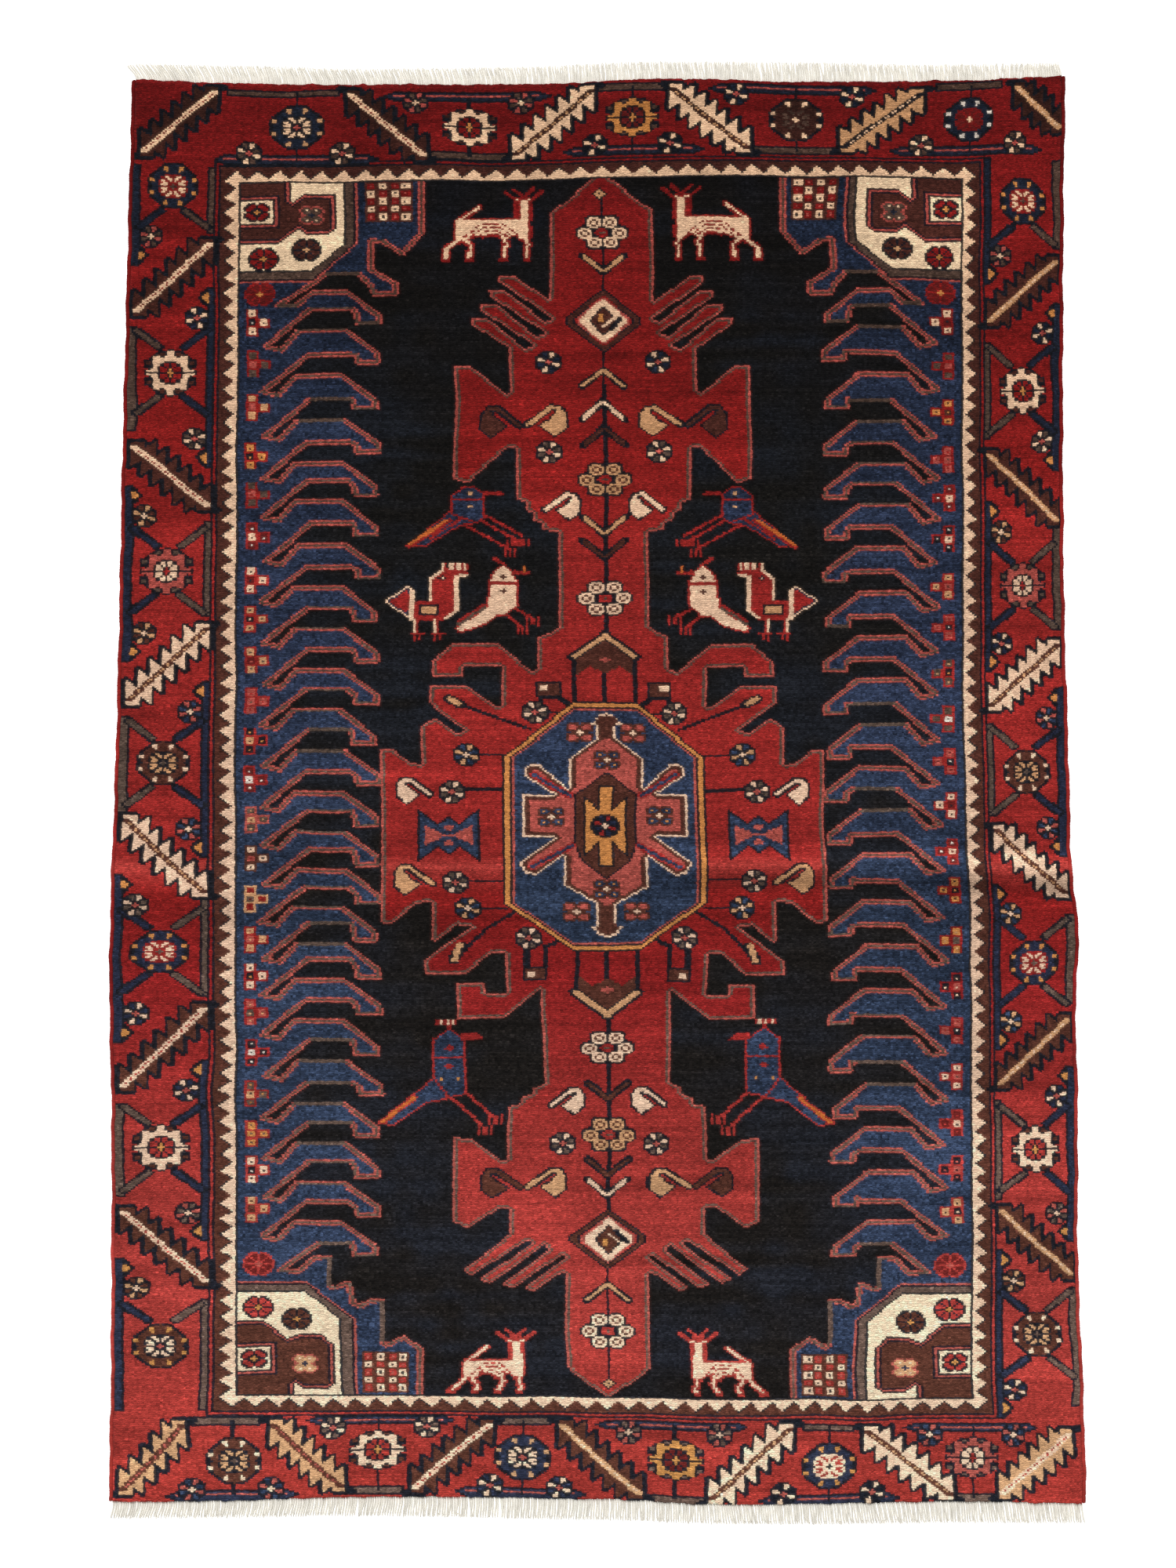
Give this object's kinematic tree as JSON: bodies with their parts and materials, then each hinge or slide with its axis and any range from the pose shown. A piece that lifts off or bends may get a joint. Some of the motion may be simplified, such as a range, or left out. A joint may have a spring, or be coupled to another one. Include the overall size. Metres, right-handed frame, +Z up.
{
  "type": "hand-knotted wool rug",
  "caption": "Small knotted wool rug lying flat, with low folds, overcast side cords and a short cotton fringe at each end.",
  "frame": {"origin": "on the floor under the middle of the rug's bounding box, fringes included", "axes": "+X across the width to the right, +Y along the length to the top end as pictured, +Z up through the pile"},
  "size_m": [1.382, 2.0604, 0.0173],
  "materials": {
    "pile_wool": "short knotted wool pile, matt with a soft sheen, madder red, indigo and undyed colours",
    "side_wool": "red wool yarn wrapped round the side cord, matt",
    "warp_cotton": "undyed twisted cotton warp ends, matt"
  },
  "bodies": {
    "root": {"knotted_body": "pile_wool", "side_cord_left": "side_wool", "side_cord_right": "side_wool", "fringe_top": "warp_cotton", "fringe_bottom": "warp_cotton"}
  },
  "joints": []
}
